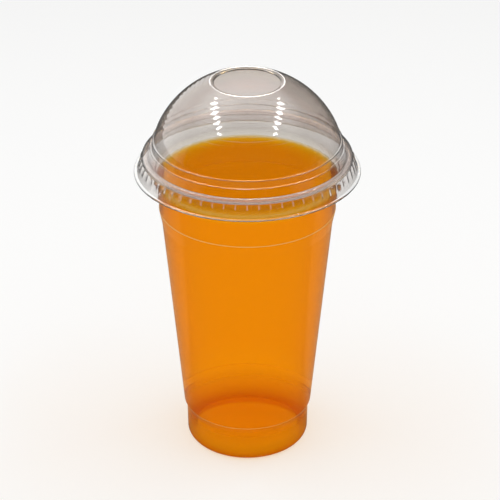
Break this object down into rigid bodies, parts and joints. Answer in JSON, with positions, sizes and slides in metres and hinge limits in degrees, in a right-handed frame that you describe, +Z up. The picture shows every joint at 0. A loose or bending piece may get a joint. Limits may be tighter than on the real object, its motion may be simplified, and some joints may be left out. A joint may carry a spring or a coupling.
{
  "type": "plastic cup with dome lid",
  "caption": "Clear tapered plastic cup filled with an orange drink, closed by a clear dome lid with an open top for a straw; the lid grips the rolled rim and lifts off.",
  "frame": {"origin": "middle of the foot ring, on the plane that the cup stands on", "axes": "+Z up along the axis of cup and lid; the object is round, so +X and +Y are free"},
  "size_m": [0.1068, 0.1068, 0.1909],
  "materials": {
    "clear_plastic": "clear glossy thermoformed sheet",
    "orange_drink": "clear orange liquid"
  },
  "bodies": {
    "cup": {"cup": "clear_plastic", "drink": "orange_drink"},
    "lid": {"lid": "clear_plastic"}
  },
  "joints": [
    {"name": "lid_lift", "type": "slide", "parent": "cup", "child": "lid", "axis": [0, 0, 1], "range_m": [0, 0.06]}
  ]
}
